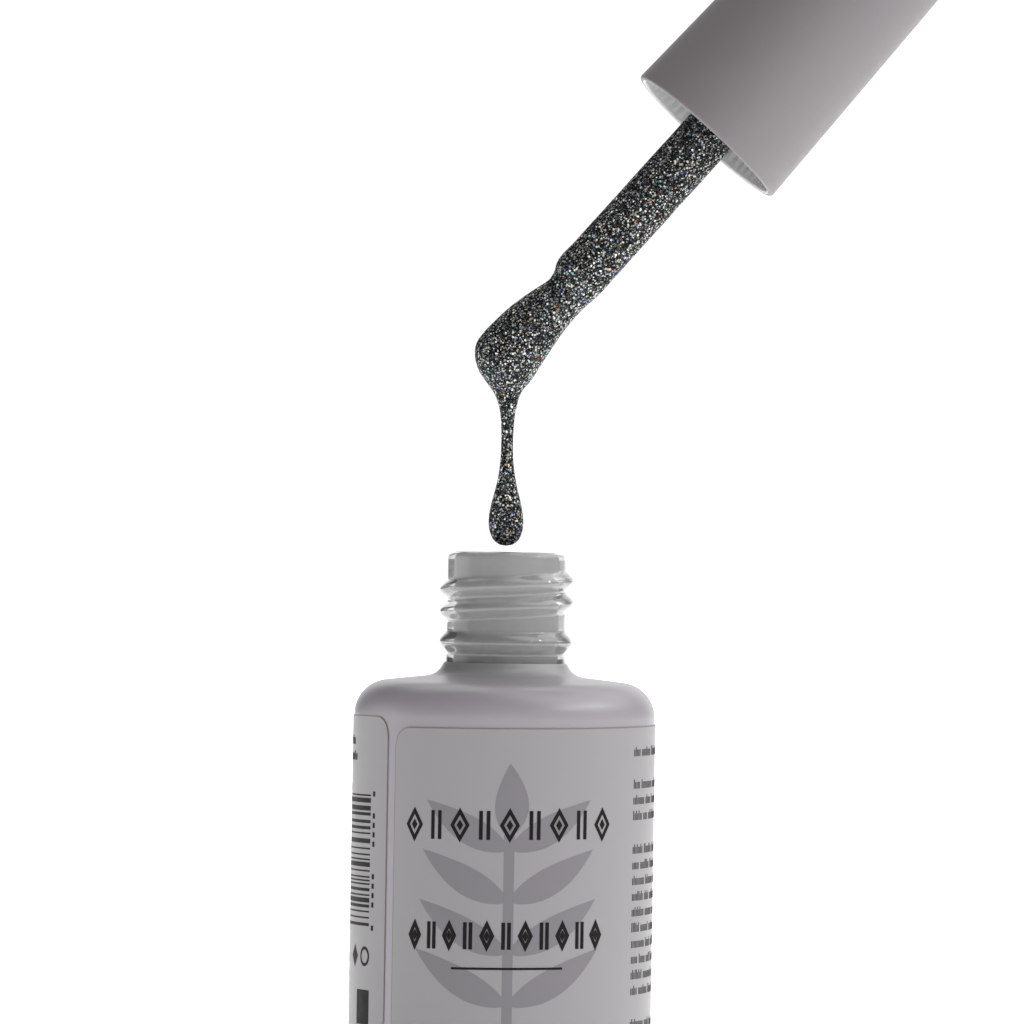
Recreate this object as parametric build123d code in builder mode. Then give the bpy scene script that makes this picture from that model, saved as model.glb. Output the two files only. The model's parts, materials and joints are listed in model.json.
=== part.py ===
from build123d import *
import math
import os

# Nail polish bottle with its brush applicator held tilted over the open neck.
# Frame: +Z up, origin at the centre of the base, on the surface the bottle stands on.
# All sizes in millimetres and degrees. A 13-415 screw neck: nominal 13 mm, 1.5 turns of thread.

# ---- bottle ---------------------------------------------------------------------------
body_diameter = 29.0
body_height = 39.0
body_wall = 1.9
shoulder_wall = 2.2
base_thickness = 4.5
push_up = 0.9
foot_ring_width = 1.1
heel_radius = 2.0
shoulder_slope = 6.5
shoulder_radius = 3.2
neck_root_radius = 2.0
cavity_corner_radius = 2.4
bore_mouth_radius = 0.5

# ---- neck finish ----------------------------------------------------------------------
finish_height = 12.0
neck_diameter = 11.48
bore_diameter = 6.7
rim_edge_radius = 0.7
thread_pitch = 2.117
thread_height = 0.74
thread_root_depth = 0.4
thread_root_width = 1.74
thread_drop = 2.7
thread_first_turn = -1.62
thread_last_turn = 0.12
thread_fade_turns = 0.16
bead_drop = 8.74
bead_projection = 0.66
bead_radius = 0.9

# ---- coats, label and contents --------------------------------------------------------
lacquer_thickness = 0.15
lacquer_floor_clearance = 0.5
lacquer_neck_height = 1.3
lining_thickness = 0.12
lining_lip_drop = 0.7
label_thickness = 0.1
label_glue_gap = 0.01
label_bottom = 3.5
label_height = 31.2
label_gap_width = 1.0
label_gap_azimuth = -137.0
label_corner_radius = 1.8
gel_level = 30.0

# ---- overcap and inner cap ------------------------------------------------------------
cap_shoulder_gap = 0.4
overcap_length = 38.0
closure_side_room = 2.86
overcap_taper = 1.83
overcap_wall = 0.75
overcap_top_thickness = 1.5
overcap_top_radius = 0.9
overcap_lip_radius = 0.3
seat_step = 0.5
rib_count = 52
rib_height = 0.32
rib_start = 0.5
inner_cap_recess = 2.0
inner_cap_plate = 1.5
inner_cap_fit = 0.02
thread_clearance = 0.12
cap_thread_height = 0.5
cap_thread_root_depth = 0.25
cap_thread_width = 0.9
cap_thread_first_turn = -1.34
cap_thread_last_turn = 0.14

# ---- wand and brush -------------------------------------------------------------------
seal_gap = 0.05
liner_thickness = 1.0
liner_side_gap = 0.3
liner_stem_clearance = 0.15
flange_thickness = 0.8
flange_side_gap = 0.4
stem_diameter = 4.9
stem_length_below_mouth = 18.7
stem_end_radius = 0.3
stem_boss_diameter = 4.4
stem_boss_clearance = 0.05
snap_head_diameter = 5.2
snap_head_height = 0.8
socket_diameter = 3.0
socket_depth = 6.0
tuft_fit = 0.02
tuft_length_below_mouth = 30.5
tuft_diameter = 3.8
anchor_width = 2.6
anchor_thickness = 0.35
anchor_height = 1.6
anchor_depth = 3.4

# ---- gel on the wand ------------------------------------------------------------------
film_thickness = 0.15
film_height_above_mouth = 5.0
skin_gap = 0.01
gel_gap = 0.06
blob_neck_diameter = 4.3
blob_neck_length_below_mouth = 20.8
blob_belly_diameter = 6.54
blob_belly_length_below_mouth = 28.6
blob_nose_length = 3.2
drop_axis_x = -0.15
drop_axis_y = -0.1
drop_clearance = 0.6
drop_diameter = 3.3
string_diameter = 1.16
string_height = 10.6
string_top_height = 17.0
string_top_diameter = 3.0

# ---- held pose ------------------------------------------------------------------------
wand_tilt = 41.2
tilt_azimuth = 3.0
pivot_height_above_rim = 19.25
mouth_above_pivot = 28.15
unscrew_turns = 1.5

# ---- derived places -------------------------------------------------------------------
rim_z = body_height + finish_height
glass_radius = body_diameter / 2 - lacquer_thickness
neck_radius = neck_diameter / 2
thread_root_radius = neck_radius - thread_root_depth
bore_radius = bore_diameter / 2
cavity_radius = glass_radius - body_wall
slope_rise = math.tan(math.radians(shoulder_slope))
thread_z = rim_z - thread_drop
mouth_z = body_height + cap_shoulder_gap
taper_run = math.tan(math.radians(overcap_taper))
liner_z = rim_z + seal_gap
flange_z = liner_z + liner_thickness
plate_z = flange_z + flange_thickness
seat_z = plate_z + inner_cap_plate
overcap_top_z = mouth_z + overcap_length
stem_radius = stem_diameter / 2
stem_end_z = mouth_z - stem_length_below_mouth
tuft_tip_z = mouth_z - tuft_length_below_mouth
cap_bore_radius = neck_radius + thread_height + thread_clearance
overcap_mouth_diameter = neck_diameter + 2 * closure_side_room
liner_diameter = 2 * (cap_bore_radius - liner_side_gap)
flange_diameter = 2 * (cap_bore_radius - flange_side_gap)
pivot_z = rim_z + pivot_height_above_rim
applicator_travel = pivot_z + mouth_above_pivot - mouth_z

# closed position on the bottle axis -> unscrewed, lifted out and tilted over the neck
held_pose = (
    Pos(0, 0, pivot_z)
    * Rot(0, 0, tilt_azimuth)
    * Rot(0, wand_tilt, 0)
    * Rot(0, 0, -tilt_azimuth)
    * Pos(0, 0, applicator_travel - pivot_z)
    * Rot(0, 0, 360 * unscrew_turns)
)


def finish(piece, name, pose=None):
    """Place a finished piece, name it and write it."""
    if pose is not None:
        piece.part.move(pose)
    piece.part.label = name
    export_step(piece.part, f"parts/{name}.step")


def bottle_outline(grow):
    """Outline of the outside of the glass from foot to rim, moved outwards by grow."""
    rise = grow * (1 / math.cos(math.radians(shoulder_slope)) - slope_rise)
    edge_z = body_height - (glass_radius - neck_radius) * slope_rise + rise
    FilletPolyline(
        (0, -grow),
        (glass_radius + grow, -grow),
        (glass_radius + grow, edge_z),
        (neck_radius + grow, body_height + rise),
        (neck_radius + grow, rim_z),
        (0, rim_z),
        radius=[heel_radius + grow, shoulder_radius + grow, neck_root_radius - grow, 0],
    )


def cavity_outline(shrink, top_z):
    """Outline of the hollow, moved inwards by shrink and open above top_z."""
    shoulder_z = body_height + (neck_radius - bore_radius) * slope_rise - shoulder_wall - shrink
    FilletPolyline(
        (0, base_thickness + shrink),
        (cavity_radius - shrink, base_thickness + shrink),
        (cavity_radius - shrink, shoulder_z - (cavity_radius - bore_radius) * slope_rise),
        (bore_radius - shrink, shoulder_z),
        (bore_radius - shrink, top_z),
        (0, top_z),
        radius=[cavity_corner_radius - shrink, cavity_corner_radius - shrink,
                cavity_corner_radius + shrink, 0],
    )


def overcap_radius(z):
    """Outside radius of the tapered overcap at height z in the closed position."""
    return overcap_mouth_diameter / 2 - (z - mouth_z) * taper_run


def rib_tip_radius(z):
    """Radius on the tips of the ribs inside the overcap at height z."""
    return overcap_radius(z) - overcap_wall - rib_height


def thread_plane(turn):
    """Upright plane through the axis at a turn of the thread, x pointing outwards."""
    angle = math.radians(360 * turn)
    return Plane(
        origin=(0, 0, thread_z + thread_pitch * turn),
        x_dir=(math.cos(angle), math.sin(angle), 0),
        z_dir=(-math.sin(angle), math.cos(angle), 0),
    )


def thread_steps(first_turn, last_turn):
    """Turns at which a thread's sections stand, with how full the thread is at each."""
    count = round((last_turn - first_turn) * 18)
    for step in range(count + 1):
        turn = first_turn + (last_turn - first_turn) * step / count
        inset = min(turn - first_turn, last_turn - turn) / thread_fade_turns
        yield turn, 0.08 + 0.92 * math.sin(min(inset, 1) * math.pi / 2)


os.makedirs("parts", exist_ok=True)

# ======================================================================= the bottle
with BuildPart() as glass_bottle:
    with BuildSketch(Plane.XZ):
        with BuildLine():
            bottle_outline(0)
            Line((0, rim_z), (0, 0))
        make_face()
    revolve(axis=Axis.Z)
    fillet(glass_bottle.edges().group_by(Axis.Z)[-1], rim_edge_radius)
    # transfer bead below the thread
    with BuildSketch(Plane.XZ):
        with Locations((neck_radius + bead_projection - bead_radius, rim_z - bead_drop)):
            Circle(bead_radius)
    revolve(axis=Axis.Z)
    # right-hand thread, fading in and out at its ends
    for turn, fullness in thread_steps(thread_first_turn, thread_last_turn):
        with BuildSketch(thread_plane(turn)):
            with BuildLine():
                ThreePointArc(
                    (thread_root_radius, -thread_root_width / 2),
                    (neck_radius + thread_height * fullness, 0),
                    (thread_root_radius, thread_root_width / 2),
                )
                Line(
                    (thread_root_radius, thread_root_width / 2),
                    (thread_root_radius, -thread_root_width / 2),
                )
            make_face()
    loft()
    with BuildSketch(Plane.XZ):
        with BuildLine():
            cavity_outline(0, rim_z)
            Line((0, rim_z), (0, base_thickness))
        make_face()
    revolve(axis=Axis.Z, mode=Mode.SUBTRACT)
    mouth_edges = glass_bottle.edges().filter_by(GeomType.CIRCLE).group_by(Axis.Z)[-1]
    fillet(mouth_edges.sort_by(SortBy.RADIUS)[0], bore_mouth_radius)
    # shallow push-up under the base leaves a ring to stand on
    with BuildSketch(Plane.XZ):
        with BuildLine():
            foot_radius = glass_radius - heel_radius - foot_ring_width
            ThreePointArc((-foot_radius, 0), (0, push_up), (foot_radius, 0))
            Line((foot_radius, 0), (-foot_radius, 0))
        make_face()
        split(bisect_by=Plane.YZ)
    revolve(axis=Axis.Z, mode=Mode.SUBTRACT)
finish(glass_bottle, "glass_bottle")

with BuildPart() as inner_lining:
    with BuildSketch(Plane.XZ):
        with BuildLine():
            cavity_outline(0, rim_z - lining_lip_drop)
            Line((0, rim_z - lining_lip_drop), (0, base_thickness))
        make_face()
        with BuildLine():
            cavity_outline(lining_thickness, rim_z)
            Line((0, rim_z), (0, base_thickness + lining_thickness))
        make_face(mode=Mode.SUBTRACT)
    revolve(axis=Axis.Z)
finish(inner_lining, "inner_lining")

with BuildPart() as body_lacquer:
    with BuildSketch(Plane.XZ):
        with BuildLine():
            bottle_outline(lacquer_thickness)
            Line((0, rim_z), (0, -lacquer_thickness))
        make_face()
        with BuildLine():
            bottle_outline(0)
            Line((0, rim_z), (0, 0))
        make_face(mode=Mode.SUBTRACT)
        coat_height = body_height + lacquer_neck_height - lacquer_floor_clearance
        with Locations((0, lacquer_floor_clearance)):
            Rectangle(body_diameter, coat_height, align=(Align.MIN, Align.MIN), mode=Mode.INTERSECT)
    revolve(axis=Axis.Z)
finish(body_lacquer, "body_lacquer")

with BuildPart() as wrap_label:
    with BuildSketch(Plane.XY.offset(label_bottom)):
        Circle(body_diameter / 2 + label_glue_gap + label_thickness)
        Circle(body_diameter / 2 + label_glue_gap, mode=Mode.SUBTRACT)
    extrude(amount=label_height)
    # gap between the two ends, which have rounded corners
    gap_plane = Plane.YZ.rotated((0, 0, label_gap_azimuth))
    end_shift = label_gap_width / 2 + 2 * label_corner_radius
    with BuildSketch(gap_plane):
        with Locations((0, label_bottom + label_height / 2)):
            Rectangle(2 * end_shift, label_height)
        with Locations(
            (-end_shift, label_bottom + label_height / 2), (end_shift, label_bottom + label_height / 2)
        ):
            RectangleRounded(
                4 * label_corner_radius, label_height, label_corner_radius, mode=Mode.SUBTRACT
            )
    extrude(amount=body_diameter, mode=Mode.SUBTRACT)
finish(wrap_label, "wrap_label")

with BuildPart() as gel_fill:
    with BuildSketch(Plane.XZ):
        with BuildLine():
            cavity_outline(lining_thickness, rim_z)
            Line((0, rim_z), (0, base_thickness + lining_thickness))
        make_face()
        Rectangle(body_diameter, gel_level, align=(Align.MIN, Align.MIN), mode=Mode.INTERSECT)
    revolve(axis=Axis.Z)
finish(gel_fill, "gel_fill")

# ======================================================================= the applicator
# Everything below is drawn closed, upright on the bottle's axis, and then moved to the held pose.
with BuildPart() as overcap:
    with BuildSketch(Plane.XZ):
        with BuildLine():
            Polyline(
                (0, mouth_z),
                (overcap_radius(mouth_z), mouth_z),
                (overcap_radius(overcap_top_z), overcap_top_z),
                (0, overcap_top_z),
                (0, mouth_z),
            )
        make_face()
    revolve(axis=Axis.Z)
    fillet(overcap.edges().group_by(Axis.Z)[-1], overcap_top_radius)
    # plain lip at the mouth
    rib_z = mouth_z + rib_start
    lip_radius = overcap_radius(rib_z) - overcap_wall
    with BuildSketch(Plane.XY.offset(mouth_z)):
        Circle(lip_radius)
    extrude(amount=rib_start, mode=Mode.SUBTRACT)
    # ribbed socket for the inner cap
    for z in (rib_z, seat_z):
        corners = []
        for corner in range(2 * rib_count):
            radius = rib_tip_radius(z) + (rib_height if corner % 2 else 0)
            angle = math.pi * corner / rib_count
            corners.append((radius * math.cos(angle), radius * math.sin(angle)))
        with BuildSketch(Plane.XY.offset(z)):
            with BuildLine():
                Polyline(*corners, close=True)
            make_face()
    loft(ruled=True, mode=Mode.SUBTRACT)
    # hollow above the seat, under the closed top
    upper_z = overcap_top_z - overcap_top_thickness
    with BuildSketch(Plane.XZ):
        with BuildLine():
            Polyline(
                (0, seat_z),
                (rib_tip_radius(seat_z) - seat_step, seat_z),
                (rib_tip_radius(upper_z) - seat_step, upper_z),
                (0, upper_z),
                (0, seat_z),
            )
        make_face()
    revolve(axis=Axis.Z, mode=Mode.SUBTRACT)
    fillet(overcap.edges().filter_by(GeomType.CIRCLE).group_by(Axis.Z)[0], overcap_lip_radius)
finish(overcap, "overcap", held_pose)

with BuildPart() as inner_cap:
    skirt_z = mouth_z + inner_cap_recess
    with BuildSketch(Plane.XZ):
        with BuildLine():
            Polyline(
                (cap_bore_radius, skirt_z),
                (rib_tip_radius(skirt_z) - inner_cap_fit, skirt_z),
                (rib_tip_radius(seat_z) - inner_cap_fit, seat_z),
                (stem_boss_diameter / 2 + stem_boss_clearance, seat_z),
                (stem_boss_diameter / 2 + stem_boss_clearance, plate_z),
                (cap_bore_radius, plate_z),
                (cap_bore_radius, skirt_z),
            )
        make_face()
    revolve(axis=Axis.Z)
    # thread ridge half a pitch below the bottle's thread, so that the two are in mesh
    for turn, fullness in thread_steps(cap_thread_first_turn, cap_thread_last_turn):
        crest_radius = cap_bore_radius - cap_thread_height * fullness
        ridge_plane = thread_plane(turn)
        ridge_plane.origin -= Vector(0, 0, thread_pitch / 2)
        with BuildSketch(ridge_plane):
            with BuildLine():
                ThreePointArc(
                    (cap_bore_radius + cap_thread_root_depth, -cap_thread_width / 2),
                    (crest_radius, 0),
                    (cap_bore_radius + cap_thread_root_depth, cap_thread_width / 2),
                )
                Line(
                    (cap_bore_radius + cap_thread_root_depth, cap_thread_width / 2),
                    (cap_bore_radius + cap_thread_root_depth, -cap_thread_width / 2),
                )
            make_face()
    loft()
finish(inner_cap, "inner_cap", held_pose)

with BuildPart() as seal_liner:
    with BuildSketch(Plane.XY.offset(liner_z)):
        Circle(liner_diameter / 2)
        Circle(stem_radius + liner_stem_clearance, mode=Mode.SUBTRACT)
    extrude(amount=liner_thickness)
finish(seal_liner, "seal_liner", held_pose)

with BuildPart() as stem:
    with BuildSketch(Plane.XY.offset(stem_end_z)):
        Circle(stem_radius)
    extrude(amount=flange_z - stem_end_z)
    fillet(stem.edges().group_by(Axis.Z)[0], stem_end_radius)
    with BuildSketch(Plane.XY.offset(flange_z)):
        Circle(flange_diameter / 2)
    extrude(amount=flange_thickness)
    with BuildSketch(Plane.XY.offset(plate_z)):
        Circle(stem_boss_diameter / 2)
    extrude(amount=inner_cap_plate)
    with BuildSketch(Plane.XY.offset(seat_z)):
        Circle(snap_head_diameter / 2)
    extrude(amount=snap_head_height)
    chamfer(stem.edges().group_by(Axis.Z)[-1], snap_head_height / 2)
    with BuildSketch(Plane.XY.offset(stem_end_z)):
        Circle(socket_diameter / 2)
    extrude(amount=socket_depth, mode=Mode.SUBTRACT)
finish(stem, "stem", held_pose)

with BuildPart() as bristles:
    socket_radius = socket_diameter / 2 - tuft_fit
    tuft_radius = tuft_diameter / 2
    tuft_round_z = tuft_tip_z + tuft_radius
    with BuildSketch(Plane.XZ):
        with BuildLine():
            Polyline(
                (0, stem_end_z + socket_depth - tuft_fit),
                (socket_radius, stem_end_z + socket_depth - tuft_fit),
                (socket_radius, stem_end_z),
                (tuft_radius, tuft_round_z),
            )
            RadiusArc((tuft_radius, tuft_round_z), (0, tuft_tip_z), tuft_radius)
            Line((0, tuft_tip_z), (0, stem_end_z + socket_depth - tuft_fit))
        make_face()
    revolve(axis=Axis.Z)
    # slit that the folded filaments leave round the anchor
    with BuildSketch(Plane.XY.offset(stem_end_z + anchor_depth - tuft_fit)):
        Rectangle(anchor_width + 2 * tuft_fit, anchor_thickness + 2 * tuft_fit)
    extrude(amount=anchor_height + 2 * tuft_fit, mode=Mode.SUBTRACT)
finish(bristles, "bristles", held_pose)

with BuildPart() as brush_anchor:
    with BuildSketch(Plane.XY.offset(stem_end_z + anchor_depth)):
        Rectangle(anchor_width, anchor_thickness)
    extrude(amount=anchor_height)
finish(brush_anchor, "brush_anchor", held_pose)

with BuildPart() as gel_on_stem:
    with BuildSketch(Plane.XY.offset(stem_end_z + stem_end_radius)):
        Circle(stem_radius + skin_gap + film_thickness)
        Circle(stem_radius + skin_gap, mode=Mode.SUBTRACT)
    extrude(amount=stem_length_below_mouth - stem_end_radius + film_height_above_mouth)
finish(gel_on_stem, "gel_on_stem", held_pose)

# ======================================================================= gel on the brush
with BuildPart() as blob_envelope:
    blob_top_z = stem_end_z - gel_gap
    neck_z = mouth_z - blob_neck_length_below_mouth
    belly_z = mouth_z - blob_belly_length_below_mouth
    nose_z = belly_z - blob_nose_length
    belly_radius = blob_belly_diameter / 2
    with BuildSketch(Plane.XZ):
        with BuildLine():
            Line((0, blob_top_z), (stem_radius, blob_top_z))
            Spline(
                (stem_radius, blob_top_z),
                (blob_neck_diameter / 2, neck_z),
                (belly_radius, belly_z),
                tangents=[(-1, -1), (0, -1)],
            )
            EllipticalCenterArc((0, belly_z), belly_radius, blob_nose_length, 270, arc_size=90)
            Line((0, nose_z), (0, blob_top_z))
        make_face()
    revolve(axis=Axis.Z)

with BuildPart() as gel_bead:
    add(blob_envelope.part)
    # room for the filaments inside the bead
    with BuildSketch(Plane.XZ):
        with BuildLine():
            Polyline(
                (0, blob_top_z),
                (socket_radius + gel_gap, blob_top_z),
                (tuft_radius + gel_gap, tuft_round_z),
            )
            RadiusArc(
                (tuft_radius + gel_gap, tuft_round_z), (0, tuft_tip_z - gel_gap), tuft_radius + gel_gap
            )
            Line((0, tuft_tip_z - gel_gap), (0, blob_top_z))
        make_face()
    revolve(axis=Axis.Z, mode=Mode.SUBTRACT)
finish(gel_bead, "gel_bead", held_pose)

with BuildPart() as gel_drop:
    drop_plane = Plane(origin=(drop_axis_x, drop_axis_y, rim_z), x_dir=(1, 0, 0), z_dir=(0, -1, 0))
    drop_radius = drop_diameter / 2
    drop_belly = drop_clearance + drop_radius
    with BuildSketch(drop_plane):
        with BuildLine():
            CenterArc((0, drop_belly), drop_radius, 270, 90)
            Spline(
                (drop_radius, drop_belly),
                (string_diameter / 2, string_height),
                (string_top_diameter / 2, string_top_height),
                tangents=[(0, 1), (1, 1)],
            )
            Line((string_top_diameter / 2, string_top_height), (0, string_top_height))
            Line((0, string_top_height), (0, drop_clearance))
        make_face()
    revolve(axis=Axis((drop_axis_x, drop_axis_y, 0), (0, 0, 1)))
    # the string starts on the underside of the bead
    add(held_pose * blob_envelope.part, mode=Mode.SUBTRACT)
finish(gel_drop, "gel_drop")
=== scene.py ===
"""The looks of a nail polish bottle and its loaded brush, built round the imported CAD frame.

Every length is in metres and every piece stands in the CAD model's own frame: +Z up the bottle's
axis, the label's front towards -Y and the wand leaning towards +X.
"""

import json
import logging
import math
from dataclasses import dataclass, field
from enum import Enum
from typing import Callable, Iterable, Sequence

import bpy
import numpy as np
from mathutils import Matrix, Vector


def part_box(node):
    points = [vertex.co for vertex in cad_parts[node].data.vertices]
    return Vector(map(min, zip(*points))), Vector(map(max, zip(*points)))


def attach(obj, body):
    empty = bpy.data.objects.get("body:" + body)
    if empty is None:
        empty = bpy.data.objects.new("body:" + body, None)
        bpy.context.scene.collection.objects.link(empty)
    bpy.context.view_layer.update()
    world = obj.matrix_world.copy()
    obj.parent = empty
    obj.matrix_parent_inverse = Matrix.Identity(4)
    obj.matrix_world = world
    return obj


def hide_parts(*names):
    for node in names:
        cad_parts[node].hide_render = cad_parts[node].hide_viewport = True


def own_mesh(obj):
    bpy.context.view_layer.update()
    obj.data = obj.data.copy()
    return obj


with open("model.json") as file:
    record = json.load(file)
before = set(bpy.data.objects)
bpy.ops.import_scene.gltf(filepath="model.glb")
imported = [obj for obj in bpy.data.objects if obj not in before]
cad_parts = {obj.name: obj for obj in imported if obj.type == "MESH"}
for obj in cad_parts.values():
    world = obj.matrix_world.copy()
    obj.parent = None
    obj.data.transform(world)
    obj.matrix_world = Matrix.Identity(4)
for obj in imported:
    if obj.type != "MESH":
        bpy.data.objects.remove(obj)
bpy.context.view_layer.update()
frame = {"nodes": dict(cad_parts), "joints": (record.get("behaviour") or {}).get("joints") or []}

MM = 0.001
FULL_TURN = 2 * math.pi
log = logging.getLogger("polish_bottle")


class Body(Enum):
    """CAD bodies that the pieces ride on."""

    BOTTLE = "bottle"
    CARRIED = "liner"
    APPLICATOR = "applicator"


class Slot(Enum):
    """Material slots of the record."""

    GLASS = "clear_glass"
    LINING = "grey_lining"
    LACQUER = "matte_lacquer"
    LABEL = "label_stock"
    GEL = "glitter_gel"
    CAP = "cap_plastic"


# ---------------------------------------------------------------------------------- mesh tools
def deselect_all() -> None:
    """Leave nothing selected, so that an operator only acts on what comes next."""
    if bpy.context.object and bpy.context.object.mode != "OBJECT":
        bpy.ops.object.mode_set(mode="OBJECT")
    bpy.ops.object.select_all(action="DESELECT")


def activate(piece: bpy.types.Object) -> None:
    """Select one piece and make it the active one."""
    deselect_all()
    piece.select_set(True)
    bpy.context.view_layer.objects.active = piece


def smooth(piece: bpy.types.Object, angle: float = 40.0) -> None:
    """Shade a piece smooth except along edges sharper than angle, in degrees."""
    activate(piece)
    bpy.ops.object.shade_smooth_by_angle(angle=math.radians(angle))


def apply_modifier(piece: bpy.types.Object, kind: str, **settings: object) -> None:
    """Add one modifier, set it and apply it.

    Args:
        piece: The piece to change.
        kind: The modifier's type, such as SOLIDIFY.
        settings: The modifier's own settings.
    """
    modifier = piece.modifiers.new(kind.title(), kind)
    for name, value in settings.items():
        setattr(modifier, name, value)
    activate(piece)
    bpy.ops.object.modifier_apply(modifier=modifier.name)


def lathe(
    name: str, outline: Sequence[tuple[float, float]], steps: int, ring: bool = False
) -> bpy.types.Object:
    """Turn an outline of (radius, height) points about the Z axis.

    Args:
        name: The new piece's name.
        outline: The points, in order. An open outline starts and ends on the axis.
        steps: How many faces go round.
        ring: True for a closed outline that stays clear of the axis.

    Returns:
        The closed piece, with its faces pointing outwards.
    """
    deselect_all()
    bpy.ops.mesh.primitive_circle_add(vertices=len(outline), radius=MM, fill_type="NOTHING")
    piece = bpy.context.object
    piece.name = piece.data.name = name
    for vertex, (radius, height) in zip(piece.data.vertices, outline):
        vertex.co = (max(radius, 0.0), 0.0, height)
    last = len(outline) - 1
    for edge in piece.data.edges:
        edge.select = not ring and set(edge.vertices) == {0, last}
    for vertex in piece.data.vertices:
        vertex.select = False
    bpy.ops.object.mode_set(mode="EDIT")
    if not ring:
        bpy.ops.mesh.select_mode(type="EDGE")
        bpy.ops.mesh.delete(type="EDGE")
    bpy.ops.mesh.select_mode(type="VERT")
    bpy.ops.mesh.select_all(action="SELECT")
    bpy.ops.mesh.spin(steps=steps, angle=FULL_TURN, center=(0, 0, 0), axis=(0, 0, 1))
    bpy.ops.mesh.select_all(action="SELECT")
    bpy.ops.mesh.remove_doubles(threshold=2e-7)
    bpy.ops.mesh.normals_make_consistent(inside=False)
    bpy.ops.object.mode_set(mode="OBJECT")
    return piece


def grid(
    name: str, columns: int, rows: int, place: Callable[[float, float], tuple[float, float]]
) -> bpy.types.Object:
    """A flat grid whose corners run from 0 to 1 both ways, laid out by a formula in its own plane.

    Args:
        name: The new piece's name.
        columns: Faces along the first direction.
        rows: Faces along the second direction.
        place: Gives a point's flat position from its two shares.

    Returns:
        The flat piece, in the XY plane.
    """
    deselect_all()
    bpy.ops.mesh.primitive_grid_add(x_subdivisions=columns, y_subdivisions=rows, size=2)
    piece = bpy.context.object
    piece.name = piece.data.name = name
    for vertex in piece.data.vertices:
        across, up = (vertex.co.x + 1) / 2, (vertex.co.y + 1) / 2
        vertex.co = (*place(across, up), 0.0)
    return piece


def join(name: str, pieces: Sequence[bpy.types.Object]) -> bpy.types.Object:
    """Join several pieces into one, under a new name."""
    deselect_all()
    for piece in pieces:
        piece.select_set(True)
    bpy.context.view_layer.objects.active = pieces[0]
    if len(pieces) > 1:
        bpy.ops.object.join()
    pieces[0].name = pieces[0].data.name = name
    return pieces[0]


def arc(
    centre: tuple[float, float], radius: float, start: float, end: float, count: int
) -> list[tuple[float, float]]:
    """Points on an arc, from one angle to another, in degrees, both ends among them."""
    turns = np.radians(np.linspace(start, end, count))
    return [(centre[0] + radius * math.cos(a), centre[1] + radius * math.sin(a)) for a in turns]


def rounded(
    points: Sequence[tuple[float, float]], radii: Sequence[float], count: int = 8
) -> list[tuple[float, float]]:
    """An outline with its corners rounded.

    Args:
        points: The corners in order. The first and last stay as they are.
        radii: One radius for each corner between them, 0 for a sharp one.
        count: Points on each rounded corner.

    Returns:
        The outline's points.
    """
    made = [points[0]]
    for before, corner, after, radius in zip(points, points[1:], points[2:], radii):
        here = Vector(corner)
        back, ahead = (Vector(before) - here).normalized(), (Vector(after) - here).normalized()
        if radius <= 0:
            made.append(corner)
            continue
        half = back.angle(ahead) / 2
        centre = here + (back + ahead).normalized() * (radius / math.sin(half))
        start, end = here + back * (radius / math.tan(half)), here + ahead * (radius / math.tan(half))
        first, last = (start - centre), (end - centre)
        sweep = first.angle_signed(last)
        for step in range(count + 1):
            spoke = first.copy()
            spoke.rotate(Matrix.Rotation(-sweep * step / count, 2))
            made.append(tuple(centre + spoke))
    made.append(points[-1])
    return made


def spaced(points: Sequence[tuple[float, float]], spacing: float) -> list[tuple[float, float]]:
    """The same outline with extra points on its long runs, at most spacing apart."""
    made = [points[0]]
    for start, end in zip(points, points[1:]):
        parts = max(1, math.ceil(math.dist(start, end) / spacing))
        for part in range(1, parts + 1):
            share = part / parts
            made.append((start[0] + (end[0] - start[0]) * share, start[1] + (end[1] - start[1]) * share))
    return made


def radial_shift(piece: bpy.types.Object, shift: Callable[[float, float, float], float]) -> None:
    """Move each vertex away from the Z axis.

    Args:
        piece: The piece to change.
        shift: Gives the move from a vertex's radius, azimuth and height.
    """
    for vertex in piece.data.vertices:
        x, y, z = vertex.co
        radius = math.hypot(x, y)
        if radius < 1e-6:
            continue
        grown = radius + shift(radius, math.atan2(y, x), z)
        vertex.co = (x * grown / radius, y * grown / radius, z)


def dress(
    piece: bpy.types.Object, finish: "Finish", body: Body, replaced: Iterable[str] = ()
) -> None:
    """Give a piece its finish, its body and the CAD nodes that it stands for."""
    piece.data.materials.clear()
    piece.data.materials.append(finish.material())
    settle(piece, body, replaced)


def settle(piece: bpy.types.Object, body: Body, replaced: Iterable[str] = ()) -> None:
    """Let a dressed piece ride on its body and stand for its CAD nodes."""
    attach(piece, body.value)
    if replaced:
        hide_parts(*replaced)
    log.info("%s: %d faces on %s", piece.name, len(piece.data.polygons), body.value)


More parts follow.
